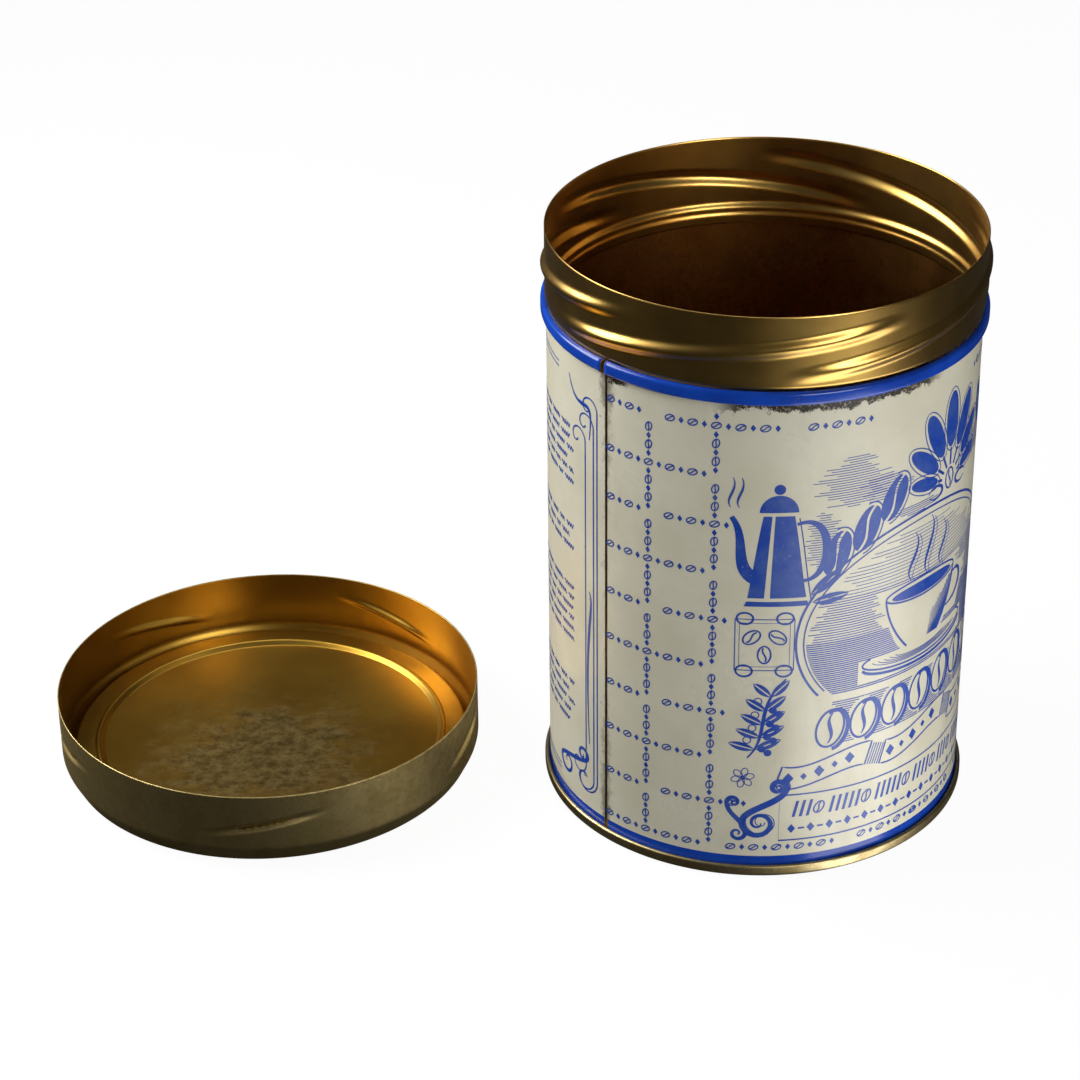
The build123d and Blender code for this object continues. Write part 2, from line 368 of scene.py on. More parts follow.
class Shader:
    """A material with a Principled shader, and short calls that add and link nodes."""

    def __init__(self, name, slot_colour, **settings):
        self.material = bpy.data.materials.new(name)
        self.material.use_nodes = True
        self.material.diffuse_color = (*slot_colour, 1.0)
        self.tree = self.material.node_tree
        self.bsdf = self.tree.nodes["Principled BSDF"]
        self.bsdf.inputs["Base Color"].default_value = (*slot_colour, 1.0)
        for socket, value in settings.items():
            self.bsdf.inputs[socket.replace("_", " ")].default_value = value
        self.place = self.tree.nodes.new("ShaderNodeTexCoord").outputs["Object"]

    def put(self, value, socket):
        if isinstance(value, bpy.types.NodeSocket):
            self.tree.links.new(value, socket)
        elif value is not None:
            socket.default_value = value

    def stretch(self, scale):
        node = self.tree.nodes.new("ShaderNodeMapping")
        node.inputs["Scale"].default_value = scale
        self.tree.links.new(self.place, node.inputs["Vector"])
        return node.outputs[0]

    def noise(self, scale, detail, roughness, at=None):
        node = self.tree.nodes.new("ShaderNodeTexNoise")
        node.inputs["Scale"].default_value = scale
        node.inputs["Detail"].default_value = detail
        node.inputs["Roughness"].default_value = roughness
        self.tree.links.new(at or self.place, node.inputs["Vector"])
        return node.outputs[0]

    def ramp(self, value, low, high, to_low=0.0, to_high=1.0, soft=True):
        node = self.tree.nodes.new("ShaderNodeMapRange")
        node.interpolation_type = "SMOOTHSTEP" if soft else "LINEAR"
        self.put(value, node.inputs["Value"])
        limits = {"From Min": low, "From Max": high, "To Min": to_low, "To Max": to_high}
        for socket, number in limits.items():
            node.inputs[socket].default_value = number
        return node.outputs[0]

    def math(self, kind, a, b=None):
        node = self.tree.nodes.new("ShaderNodeMath")
        node.operation = kind
        self.put(a, node.inputs[0])
        self.put(b, node.inputs[1])
        return node.outputs[0]

    def add(self, a, b):
        return self.math("ADD", a, b)

    def minus(self, a, b):
        return self.math("SUBTRACT", a, b)

    def times(self, a, b):
        return self.math("MULTIPLY", a, b)

    def mix(self, factor, a, b):
        node = self.tree.nodes.new("ShaderNodeMix")
        node.data_type = "RGBA"
        self.put(factor, node.inputs["Factor"])
        self.put((*a, 1.0) if isinstance(a, tuple) else a, node.inputs["A"])
        self.put((*b, 1.0) if isinstance(b, tuple) else b, node.inputs["B"])
        return node.outputs["Result"]

    def split(self):
        node = self.tree.nodes.new("ShaderNodeSeparateXYZ")
        self.tree.links.new(self.place, node.inputs[0])
        return node.outputs

    def set(self, socket, value):
        self.put(value, self.bsdf.inputs[socket])

    def relief(self, height, strength, distance):
        node = self.tree.nodes.new("ShaderNodeBump")
        node.inputs["Strength"].default_value = strength
        node.inputs["Distance"].default_value = distance
        self.put(height, node.inputs["Height"])
        self.tree.links.new(node.outputs[0], self.bsdf.inputs["Normal"])


def around(s):
    """Shader value: radians from the front, growing towards +X, round the tin's axis."""
    x, y, _ = s.split()
    return s.math("ARCTAN2", x, s.times(y, -1.0))


def window(s, value, low, high, soft):
    """1 between low and high, fading to 0 over soft on each side."""
    rising = s.ramp(value, low - soft, low)
    falling = s.ramp(value, high, high + soft, 1.0, 0.0)
    return s.times(rising, falling)


def collar_gold():
    """Gold under a clear coat, which whitens its highlights."""
    s = Shader("collar_gold", (0.62, 0.34, 0.06), Metallic=1.0, Coat_Weight=0.8, Coat_Roughness=0.28)
    broad = s.noise(38.0, 4.0, 0.6)
    tone = s.mix(s.ramp(broad, 0.35, 0.7), (0.62, 0.38, 0.075), (0.52, 0.30, 0.055))
    s.set("Base Color", tone)
    s.set("Roughness", s.ramp(s.noise(120.0, 3.0, 0.5), 0.3, 0.7, 0.28, 0.31))
    s.relief(s.noise(38.0, 2.0, 0.45), 0.12, 0.0006)
    return s.material


def lacquer_inside():
    """Dark gold lacquer on the inside of the wall and the base, stained by coffee."""
    s = Shader("lacquer_inside", (0.30, 0.15, 0.04), Metallic=1.0, Roughness=0.38)
    cloud = s.noise(75.0, 6.0, 0.7)
    speck = s.noise(900.0, 4.0, 0.7)
    tone = s.mix(s.ramp(cloud, 0.34, 0.68), (0.52, 0.25, 0.060), (0.20, 0.085, 0.022))
    s.set("Base Color", s.mix(s.ramp(speck, 0.56, 0.70, 0.0, 0.55), tone, (0.05, 0.02, 0.008)))
    s.set("Roughness", s.ramp(cloud, 0.3, 0.7, 0.30, 0.52))
    return s.material


def lid_outside_gold():
    s = Shader("lid_outside_gold", (0.45, 0.34, 0.14), Metallic=1.0, Roughness=0.48)
    cloud = s.noise(120.0, 7.0, 0.70)
    fleck = s.noise(620.0, 6.0, 0.75)
    tone = s.mix(s.ramp(cloud, 0.38, 0.64), (0.62, 0.48, 0.205), (0.40, 0.30, 0.115))
    tone = s.mix(s.ramp(fleck, 0.50, 0.66, 0.0, 0.45), tone, (0.17, 0.12, 0.045))
    tone = s.mix(s.ramp(s.noise(1900.0, 3.0, 0.7), 0.62, 0.72, 0.0, 0.4), tone, (0.70, 0.58, 0.30))
    s.set("Base Color", tone)
    rough = s.ramp(cloud, 0.3, 0.7, 0.42, 0.52)
    s.set("Roughness", s.add(rough, s.ramp(fleck, 0.45, 0.7, 0.0, 0.10)))
    s.relief(s.add(cloud, s.times(fleck, 0.4)), 0.18, 0.0002)
    return s.material


def lid_inside_gold():
    """Amber lacquer, rubbed to a dull khaki in the middle of the panel."""
    s = Shader("lid_inside_gold", (0.62, 0.36, 0.06), Metallic=1.0, Roughness=0.36)
    x, y, z = s.split()
    from_x = s.add(x, -LID_AXIS[0] * MM)
    from_y = s.add(y, (WORN_FORWARD - LID_AXIS[1]) * MM)
    squared = s.add(s.times(from_x, from_x), s.times(from_y, from_y))
    distance = s.math("SQRT", squared)
    ragged = s.add(distance, s.ramp(s.noise(110.0, 8.0, 0.78), 0.3, 0.7, -0.013, 0.013, soft=False))
    on_panel = s.ramp(z, 0.0046, 0.0042)
    worn = s.times(s.ramp(ragged, 0.037, 0.012, 0.0, 0.9), on_panel)
    scrape = s.noise(260.0, 9.0, 0.82, at=s.stretch((1.0, 1.3, 1.0)))
    khaki = s.mix(s.ramp(scrape, 0.34, 0.66), (0.32, 0.235, 0.090), (0.055, 0.036, 0.012))
    broad = s.noise(30.0, 3.0, 0.5)
    amber = s.mix(s.ramp(broad, 0.35, 0.68), (0.46, 0.27, 0.042), (0.34, 0.185, 0.025))
    dark_spot = s.ramp(s.noise(950.0, 5.0, 0.72), 0.60, 0.70, 0.0, 0.35)
    amber = s.mix(dark_spot, amber, (0.16, 0.07, 0.015))
    s.set("Base Color", s.mix(worn, amber, khaki))
    s.set("Roughness", s.ramp(worn, 0.0, 1.0, 0.36, 0.46))
    return s.material


def wall_enamel():
    """Cream enamel: yellowed in clouds, dirty along the side seam, and chipped below the bead."""
    s = Shader("wall_enamel", (0.68, 0.64, 0.49), Roughness=0.33)
    _, _, z = s.split()
    turn = around(s)
    cloud = s.noise(42.0, 5.0, 0.6)
    tone = s.mix(s.ramp(cloud, 0.34, 0.68), (0.770, 0.735, 0.585), (0.690, 0.655, 0.500))
    streak = s.noise(60.0, 5.0, 0.65, at=s.stretch((1.0, 1.0, 0.22)))
    tone = s.mix(s.ramp(streak, 0.56, 0.74, 0.0, 0.35), tone, (0.50, 0.455, 0.33))

    fine = s.noise(480.0, 6.0, 0.74)
    mottle = s.noise(150.0, 6.0, 0.72, at=s.stretch((1.0, 1.0, 0.5)))
    seam_off = s.math("ABSOLUTE", s.minus(turn, math.radians(SEAM_ANGLE)))
    at_ends = s.add(s.ramp(z, 0.098, 0.124, 0.0, 0.45), s.ramp(z, 0.050, 0.012, 0.0, 0.30))
    reach = s.add(s.add(at_ends, 0.20), s.ramp(mottle, 0.3, 0.7, -0.35, 0.40, soft=False))
    near = s.minus(reach, s.times(seam_off, 11.0))
    near = s.add(near, s.ramp(fine, 0.3, 0.7, -0.22, 0.22, soft=False))
    grime = s.ramp(near, 0.02, 0.60, 0.0, 0.80)
    tone = s.mix(grime, tone, (0.150, 0.125, 0.085))

    groove = s.ramp(seam_off, math.radians(0.62), math.radians(0.30))
    tone = s.mix(groove, tone, (0.030, 0.024, 0.018))

    rise = s.ramp(z, 0.1206, 0.1249, -0.9, 0.72, soft=False)
    chipped = s.add(rise, s.ramp(fine, 0.32, 0.68, -0.42, 0.42, soft=False))
    chipped = s.add(chipped, s.ramp(mottle, 0.3, 0.7, -0.30, 0.30, soft=False))
    front = window(s, turn, math.radians(-9.0), math.radians(41.0), math.radians(9.0))
    corner = window(s, turn, math.radians(-46.0), math.radians(-42.0), math.radians(3.0))
    zone = s.math("MAXIMUM", front, corner)
    chip = s.times(s.ramp(chipped, 0.10, 0.34), zone)
    steel = s.mix(s.ramp(s.noise(1500.0, 4.0, 0.75), 0.53, 0.62), (0.022, 0.018, 0.012), (0.42, 0.36, 0.25))
    tone = s.mix(chip, tone, steel)

    speck = s.ramp(s.noise(330.0, 3.0, 0.6), 0.755, 0.79)
    tone = s.mix(speck, tone, (0.10, 0.075, 0.045))
    s.set("Base Color", tone)
    s.set("Roughness", s.add(s.ramp(cloud, 0.3, 0.7, 0.26, 0.36), s.times(grime, 0.35)))
    s.relief(s.minus(s.noise(26.0, 2.0, 0.45), s.times(chip, 0.06)), 0.30, 0.0012)
    return s.material


def blue_enamel():
    """Glossy blue of the bead and the foot band, worn to dark metal in places."""
    s = Shader("blue_enamel", (0.010, 0.070, 0.50), Roughness=0.22)
    cloud = s.noise(60.0, 4.0, 0.6)
    tone = s.mix(s.ramp(cloud, 0.35, 0.68), (0.010, 0.072, 0.52), (0.006, 0.045, 0.36))
    scratch = s.noise(420.0, 6.0, 0.75, at=s.stretch((1.0, 1.0, 1.8)))
    patch = s.ramp(s.noise(55.0, 3.0, 0.5), 0.50, 0.66)
    worn = s.times(s.ramp(scratch, 0.58, 0.66), patch)
    turn = around(s)
    gap = s.ramp(s.math("ABSOLUTE", s.minus(turn, math.radians(SEAM_ANGLE))),
                 math.radians(0.85), math.radians(0.60))
    tone = s.mix(worn, tone, (0.055, 0.040, 0.026))
    s.set("Base Color", s.mix(gap, tone, (0.27, 0.17, 0.07)))
    s.set("Metallic", s.times(gap, 0.8))
    s.set("Roughness", s.ramp(s.math("MAXIMUM", worn, gap), 0.0, 1.0, 0.20, 0.45))
    return s.material


def printed_ink():
    """Blue ink on the cream enamel, a little thin in places."""
    s = Shader("printed_ink", (0.020, 0.080, 0.46), Roughness=0.32)
    thin = s.noise(210.0, 6.0, 0.7)
    tone = s.mix(s.ramp(thin, 0.36, 0.70), (0.012, 0.060, 0.40), (0.045, 0.105, 0.40))
    fleck = s.ramp(s.noise(1300.0, 3.0, 0.7), 0.64, 0.72, 0.0, 0.4)
    s.set("Base Color", s.mix(fleck, tone, (0.42, 0.45, 0.50)))
    s.set("Roughness", s.ramp(thin, 0.3, 0.7, 0.28, 0.38))
    return s.material


def seam_gold():
    s = Shader("seam_gold", (0.50, 0.38, 0.16), Metallic=1.0, Roughness=0.32)
    cloud = s.noise(150.0, 6.0, 0.7)
    fleck = s.noise(700.0, 5.0, 0.75)
    tone = s.mix(s.ramp(cloud, 0.36, 0.66), (0.58, 0.47, 0.25), (0.38, 0.28, 0.115))
    s.set("Base Color", s.mix(s.ramp(fleck, 0.56, 0.68, 0.0, 0.8), tone, (0.13, 0.085, 0.035)))
    rough = s.ramp(cloud, 0.3, 0.7, 0.34, 0.46)
    s.set("Roughness", s.add(rough, s.ramp(fleck, 0.5, 0.7, 0.0, 0.15)))
    return s.material


# ------------------------------------------------------------------ tin and lid

def collar_profile():
    """Inside from the hem up, then outside down."""
    levels = [124.3 + 0.35 * i for i in range(63)] + [146.44]
    inner = []
    outer = []
    for z in levels:
        middle = 50.17 + 0.68 * smooth_step((z - 128.1) / 1.5)
        hem = 1.0 - smooth_step((z - 126.4) / 0.7)
        inner.append((middle - 0.15 + (49.72 - middle + 0.15) * hem, z))
        outer.append((middle + 0.15, z))
    rim = [(outer[-1][0] - 0.09, 146.5), (inner[-1][0] + 0.09, 146.5)]
    return outer + rim + inner[::-1]


def place(piece, body, node):
    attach(piece, body)
    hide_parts(node)


def paint(piece, materials, choose, axis=(0.0, 0.0)):
    """Give each face the material whose number choose(radius, height, face) returns."""
    for material in materials:
        piece.data.materials.append(material)
    for face in piece.data.polygons:
        centre = face.center / MM
        radius = math.hypot(centre.x - axis[0], centre.y - axis[1])
        face.material_index = choose(radius, centre.z, face)


def wall_part(radius, z, face):
    if z > BEAD_LOW and radius > WALL_OUT + 0.06:
        return 1
    if z < BAND_TOP and radius > WALL_IN + 0.1:
        return 1
    return 2 if radius < WALL_IN + 0.1 else 0


def end_part(radius, z, face):
    return 1 if radius < 50.1 and face.normal.z > -0.2 else 0


def build_tin():
    collar = turned("threaded_collar", collar_profile(), thread_lift)
    collar.data.materials.append(collar_gold())
    place(collar, "tin", "neck_ring")

    inside = lacquer_inside()
    right, left = sheet_sides(
        [(51.35, 2.20), (51.35, 0.62), (50.51, 0.62), (50.51, 128.55), (51.85, 128.55), (51.85, 125.55),
         (50.92, 125.55)],
        [0.38, 0.40, 0.52, 0.74, 0.70], step=9.0,
    )
    path = cut_at(spread(right, 4.0) + spread(left, 4.0), BAND_TOP)
    wall = turned("printed_wall", path, wall_lift, angles=seam_angles())
    paint(wall, (wall_enamel(), blue_enamel(), inside), wall_part)
    place(wall, "tin", "body_wall")

    right, left = sheet_sides(
        [(0.0, 2.60), (38.0, 2.60), (39.4, 3.40), (50.19, 3.40), (50.19, 0.15), (51.80, 0.15),
         (51.80, 2.85), (50.95, 2.85), (50.95, 1.05)],
        [1.0, 1.0, 0.7, 0.45, 0.85, 0.40, 0.40], step=9.0,
    )
    end = turned("stamped_end", right + left)
    paint(end, (seam_gold(), inside), end_part)
    place(end, "tin", "bottom_end")


def lid_part(radius, z, face):
    """1 on the side that is the lid's inside, which faces up and in as the lid lies here."""
    centre = face.center / MM
    inward = -(face.normal.x * (centre.x - LID_AXIS[0]) + face.normal.y * (centre.y - LID_AXIS[1]))
    if radius > LID_SKIRT_R - 0.5:
        return 1 if radius < LID_SKIRT_R and inward > 0.0 else 0
    return 1 if face.normal.z > 0.0 or (face.normal.z > -0.5 and inward > 0.0 and radius > 49.4) else 0


def build_lid():
    points = [(LID_SKIRT_R, LID_HEIGHT), (LID_SKIRT_R, 4.4), (50.3, 0.15), (49.15, 0.15), (49.15, 4.05),
              (44.3, 4.05), (43.4, 4.95), (42.2, 3.55), (0.0, 3.55)]
    right, left = sheet_sides(points, [3.0, 1.0, 0.5, 0.5, 0.6, 0.65, 0.6], step=9.0)
    path = spread(right, 0.3, beyond=LID_SKIRT_R - 0.5) + spread(left, 0.3, beyond=LID_SKIRT_R - 0.5)
    lid = turned("upturned_lid", path, lug_lift, axis=LID_AXIS)
    paint(lid, (lid_outside_gold(), lid_inside_gold()), lid_part, axis=LID_AXIS)
    place(lid, "lid", "lid")


# ------------------------------------------------------------------ printed design

def turned_to(points, cx, cz, tilt):
    """Points turned by tilt degrees about 0,0, then moved so that 0,0 comes to a centre."""
    lean = math.radians(tilt)
    return [
        (cx + x * math.cos(lean) - z * math.sin(lean), cz + x * math.sin(lean) + z * math.cos(lean))
        for x, z in points
    ]


def ellipse(cx, cz, rx, rz, tilt=0.0, start=0.0, end=360.0, count=32):
    """Points round an ellipse; rx and rz are half its size along and across the tilt."""
    whole = end - start >= 360.0
    points = []
    for k in range(count):
        a = math.radians(start + (end - start) * k / (count if whole else count - 1))
        points.append((rx * math.cos(a), rz * math.sin(a)))
    return turned_to(points, cx, cz, tilt)


def bezier(p0, p1, p2, p3, count=16):
    points = []
    for k in range(count + 1):
        t = k / count
        u = 1.0 - t
        points.append(tuple(
            u * u * u * a + 3 * u * u * t * b + 3 * u * t * t * c + t * t * t * d
            for a, b, c, d in zip(p0, p1, p2, p3)
        ))
    return points


def swell(count, thick, thin=0.25, power=1.4):
    """Widths of a pen stroke: thin at both ends and thick in the middle."""
    return [thin + (thick - thin) * math.sin(math.pi * k / (count - 1)) ** power for k in range(count)]


def s_scroll(low, high, curl_low, curl_high, flip=1, turns=1.2, side=1):
    """Points of a tall S, or with side -1 a tall C, that curls in at both ends round two centres."""
    sweep = 360.0 * turns
    steps = 30
    points = []
    for k in range(steps):
        t = k / steps
        a = math.radians(-sweep * (1.0 - t))
        r = curl_low * (0.12 + 0.88 * t)
        points.append((low[0] + flip * r * math.cos(a), low[1] + r * math.sin(a)))
    start = (low[0] + flip * curl_low, low[1])
    end = (high[0] - side * flip * curl_high, high[1])
    rise = (end[1] - start[1]) * 0.45
    points += bezier(start, (start[0], start[1] + rise), (end[0], end[1] - rise), end, 20)
    for k in range(1, steps + 1):
        t = k / steps
        a = math.radians(180.0 - sweep * t)
        r = curl_high * (1.0 - 0.88 * t)
        points.append((high[0] + side * flip * r * math.cos(a), high[1] + r * math.sin(a)))
    return points


def moved(points, dx, dz):
    return [(x + dx, z + dz) for x, z in points]


class Ink:
    """A flat drawing in mm, x along the wall and z up, which wrap() lays on the wall."""

    material = None

    def __init__(self, name, middle=LABEL_AT):
        self.name = name
        self.middle = middle
        self.mesh = bmesh.new()

    def shape(self, outline):
        self.mesh.faces.new([self.mesh.verts.new((x, 0.0, z)) for x, z in outline])

    def line(self, points, width=FINE, closed=False):
        """A line of one width, or of a width for each point."""
        count = len(points)
        widths = width if isinstance(width, list) else [width] * count
        pairs = []
        for i, (x, z) in enumerate(points):
            before = points[i - 1] if closed or i > 0 else points[i]
            after = points[(i + 1) % count] if closed or i < count - 1 else points[i]
            along = Vector((after[0] - before[0], after[1] - before[1])).normalized()
            half = widths[i] / 2.0
            dx, dz = -along.y * half, along.x * half
            ends = ((x + dx, 0.0, z + dz), (x - dx, 0.0, z - dz))
            pairs.append([self.mesh.verts.new(end) for end in ends])
        for i in range(count if closed else count - 1):
            a, b = pairs[i], pairs[(i + 1) % count]
            self.mesh.faces.new((a[0], a[1], b[1], b[0]))

    def bean(self, cx, cz, half_long, half_short, tilt, gap=0.22):
        """Solid coffee bean, with a wavy slit left unprinted."""
        for side in (1, -1):
            outline = []
            for k in range(13):
                a = math.pi * k / 12
                outline.append((half_long * math.cos(a), side * (gap + (half_short - gap) * math.sin(a))))
            for k in range(1, 10):
                t = -1.0 + 2.0 * k / 10
                outline.append((half_long * t, 0.22 * half_short * math.sin(math.pi * t) + side * gap))
            self.shape(turned_to(outline, cx, cz, tilt))

    def open_bean(self, cx, cz, half_long, half_short, tilt, width=FINE):
        """Coffee bean in outline."""
        self.line(ellipse(cx, cz, half_long, half_short, tilt, count=18), width, closed=True)
        steps = [-0.8 + 1.6 * k / 6 for k in range(7)]
        slit = [(half_long * t, 0.3 * half_short * math.sin(math.pi * t)) for t in steps]
        self.line(turned_to(slit, cx, cz, tilt), width)

    def lozenge(self, cx, cz, half_wide, half_high):
        self.shape([(cx - half_wide, cz), (cx, cz - half_high), (cx + half_wide, cz), (cx, cz + half_high)])

    def leaf(self, root, tip, fat):
        """Pointed leaf from root to tip, with its middle rib left unprinted."""
        along = Vector((tip[0] - root[0], tip[1] - root[1]))
        across = Vector((-along.y, along.x)).normalized()

        def beside(share, out):
            return (root[0] + along.x * share + across.x * out, root[1] + along.y * share + across.y * out)

        for side in (1, -1):
            belly = bezier(root, beside(0.25, side * fat), beside(0.75, side * fat), tip, 10)
            self.shape(belly + [beside(0.85, side * 0.16), beside(0.15, side * 0.16)])

    def hatch(self, rows, chord, width=0.22, draw=None, ragged=0.0):
        """Level lines at heights rows, between the ends that chord(z) gives."""
        for z in rows:
            for low, high in chord(z):
                if ragged:
                    low += draw.uniform(0.0, ragged)
                    high -= draw.uniform(0.0, ragged)
                if high - low > 0.6:
                    self.line([(low, z), (high, z)], width)

    def wrap(self, span=2.5):
        """Cut wide faces into narrow ones, bend the drawing round the wall, and fix it to the tin."""
        mesh = self.mesh
        bmesh.ops.triangulate(mesh, faces=[face for face in mesh.faces if len(face.verts) > 4])
        low = min(v.co.x for v in mesh.verts)
        high = max(v.co.x for v in mesh.verts)
        for step in range(1, int((high - low) / span) + 1):
            at = low + span * step
            wide = [face for face in mesh.faces if crosses(face, at)]
            if wide:
                edges = {edge for face in wide for edge in face.edges}
                verts = {vert for face in wide for vert in face.verts}
                bmesh.ops.bisect_plane(
                    mesh, geom=list(verts) + list(edges) + wide, plane_co=(at, 0, 0), plane_no=(1, 0, 0))
        for vert in mesh.verts:
            a = math.radians(self.middle) + vert.co.x / WALL_OUT
            vert.co = Vector((INK_R * math.sin(a), -INK_R * math.cos(a), vert.co.z)) * MM
        mesh.normal_update()
        flat = Vector((1, 1, 0))
        inward = [face for face in mesh.faces if face.normal.dot(face.calc_center_median() * flat) < 0]
        bmesh.ops.reverse_faces(mesh, faces=inward)
        piece = link_mesh(self.name, mesh, smooth=True)
        piece.data.materials.append(Ink.material)
        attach(piece, "tin")


def crosses(face, at, least=1.6):
    xs = [vert.co.x for vert in face.verts]
    return min(xs) < at - 0.05 and max(xs) > at + 0.05 and max(xs) - min(xs) > least


def lattice_free(angle, z):
    """Whether the ground next to the label is free for a lattice mark."""
    if angle < SEAM_ANGLE + 1.3:
        return False
    if z > 113.0:
        return angle < 26.0
    if z < 10.0:
        return angle < LABEL_AT
    return angle < (-11.5 if z > 30.0 else -6.0)


def print_lattice():
    """Crossing strings of small beans and lozenges, to the left of the label and mirrored to its right."""
    for name, flip in (("print_lattice_left", 1), ("print_lattice_right", -1)):
        ink = Ink(name)
        for row in range(ROW_COUNT):
            z = ROW_TOP - ROW_PITCH * row
            for column in range(-4, 4):
                if (row + column) % 2:
                    continue
                angle = COLUMN_FIRST - COLUMN_PITCH * column
                for mark in range(-4, 6):
                    lattice_mark(ink, flip, angle + mark * 2.72 / MM_PER_DEGREE, z, mark, 18.0)
                    if mark and column >= 0:
                        lattice_mark(ink, flip, angle, z - mark * 2.24, mark, 72.0)
        ink.wrap()


def lattice_mark(ink, flip, angle, z, count, tilt):
    if not lattice_free(angle, z) or not 6.6 < z < 122.0:
        return
    x = (angle - LABEL_AT) * MM_PER_DEGREE * flip
    if count % 2:
        ink.lozenge(x, z, 0.62, 0.88)
    else:
        ink.open_bean(x, z, 1.14, 0.76, tilt * flip, 0.32)


def medallion_chord(z, inset):
    """Ends of a level line inside the medallion, leaving the cup and its saucer clear."""
    rx, rz = MEDALLION_RX - inset, MEDALLION_RZ - inset
    rise = (z - MEDALLION_Z) / rz
    if abs(rise) >= 1.0:
        return []
    half = rx * math.sqrt(1.0 - rise * rise)
    clear = cup_half_width(z - CUP_FOOT)
    if clear == 0.0:
        return [(-half, half)]
    return [(-half, -clear), (clear + (6.4 if 7.5 < z - CUP_FOOT < 19.0 else 0.0), half)]


def cup_half_width(up):
    """Half the width of the cup or its saucer at a height over the foot, with room, or 0 off them."""
    if 18.5 < up < 22.5:
        return 13.6
    if 5.5 < up <= 18.5:
        return 7.0 + 6.4 * ((up - 5.5) / 13.0) ** 0.6
    if -0.5 < up <= 5.5:
        return 19.5
    return 0.0


def print_medallion():
    """Oval with a double rim, open below, showing a steaming cup against hatched ground."""
    rim = Ink("print_medallion_rim")
    for half_wide, half_high, width in ((MEDALLION_RX + 1.8, MEDALLION_RZ + 1.8, 0.6),
                                        (MEDALLION_RX, MEDALLION_RZ, 0.36)):
        arc = ellipse(0.0, MEDALLION_Z, half_wide, half_high, start=-33.0, end=213.0, count=110)
        rim.line(arc, width)
    rim.wrap()

    scene = Ink("print_medallion_cup")
    draw = random.Random(11)
    scene.hatch([49.2 + 0.56 * k for k in range(26)], lambda z: medallion_chord(z, 0.6), 0.32)
    scene.hatch([63.8 + 0.66 * k for k in range(17)], lambda z: medallion_chord(z, 0.6), 0.25, draw, 3.0)
    scene.hatch([75.2 + 0.90 * k for k in range(14)], lambda z: medallion_chord(z, 0.8), 0.18, draw, 8.0)
    foot = CUP_FOOT
    wall = bezier((12.6, foot + 20.0), (12.2, foot + 15.0), (9.2, foot + 9.5), (5.6, foot + 5.6), 20)
    scene.line(wall, 0.55)
    scene.line([(-x, z) for x, z in wall], 0.55)
    scene.line(ellipse(0.0, foot + 20.2, 12.6, 2.5, count=48), 0.5, closed=True)
    scene.shape(ellipse(0.0, foot + 19.9, 10.9, 1.7, count=40))
    for k in range(13):
        share = 0.30 + 0.055 * k
        top = foot + 19.0 - 0.6 * (12 - k)
        scene.line([(x * share, z) for x, z in wall if z < top], 0.16 + 0.022 * k)
    handle = bezier((12.0, foot + 17.6), (18.6, foot + 19.8), (19.0, foot + 9.6), (9.0, foot + 10.0), 20)
    scene.line(handle, swell(21, 1.25, 0.5))
    scene.line(ellipse(0.0, foot + 4.2, 18.4, 3.1, start=-208.0, end=28.0, count=44), 0.5)
    scene.line(ellipse(0.0, foot + 3.0, 18.2, 3.0, start=-180.0, end=0.0, count=36), 0.75)
    for k in range(5):
        ring = ellipse(0.0, foot + 4.6, 9.0 + 1.7 * k, 1.3 + 0.33 * k, start=-175.0, end=-20.0, count=24)
        scene.line(ring, 0.2)
    for x, top in ((-5.0, 86.0), (0.5, 88.6), (6.0, 85.0)):
        steam = bezier((x, foot + 23.0), (x - 4.0, foot + 26.5), (x + 4.5, top - 5.0), (x + 0.5, top), 20)
        scene.line(steam, swell(21, 0.9, 0.2))
        scene.line(moved(steam, 1.3, -0.8), 0.2)
    scene.wrap()


def bold_bean(ink, x, z, half_long, half_short, tilt):
    """Bold bean with a printed shadow line down one side."""
    ink.bean(x, z, half_long, half_short, tilt, gap=0.34)
    ink.line(ellipse(x, z, half_long + 0.9, half_short + 0.8, tilt, start=-160.0, end=30.0, count=26), 0.36)


def print_pot():
    """Tall coffee pot, solid with a streak of light left unprinted."""
    ink = Ink("print_pot")
    left = bezier((-46.4, 76.2), (-45.2, 83.0), (-44.6, 90.0), (-43.2, 97.4), 12)
    right = bezier((-33.0, 76.2), (-34.2, 83.0), (-34.8, 90.0), (-36.2, 97.4), 12)
    streak = [(a[0] * 0.72 + b[0] * 0.28, a[1]) for a, b in zip(left, right)]
    edge = [(a[0] * 0.62 + b[0] * 0.38, a[1]) for a, b in zip(left, right)]
    ink.shape(left + streak[::-1])
    ink.shape(edge + right[::-1])
    ink.shape(ellipse(-39.7, 98.3, 4.4, 4.4, start=0.0, end=180.0, count=24))
    ink.shape(ellipse(-39.7, 104.2, 1.3, 1.3, count=18))
    ink.shape([(-47.2, 74.0), (-32.2, 74.0), (-32.8, 75.3), (-46.6, 75.3)])
    spout = bezier((-45.0, 81.5), (-50.2, 84.0), (-46.4, 92.0), (-50.4, 97.0), 20)
    ink.line(spout, [3.4 - 0.11 * k for k in range(21)])
    handle = bezier((-35.6, 95.2), (-26.4, 98.6), (-26.6, 80.0), (-34.0, 80.6), 24)
    ink.line(handle, swell(25, 2.0, 0.8))
    outline = moved(right, 1.1, -0.6)
    ink.line(outline, 0.3)
    for root, tip, fat in (((-32.0, 76.5), (-24.6, 82.6), 2.0), ((-31.6, 74.6), (-22.8, 75.8), 1.8)):
        ink.leaf(root, tip, fat)
    for x in (-50.6, -48.6):
        steam = bezier((x, 99.4), (x - 1.8, 101.5), (x + 2.0, 104.0), (x + 0.4, 107.0), 14)
        ink.line(steam, swell(15, 0.6, 0.2))
    ink.wrap()


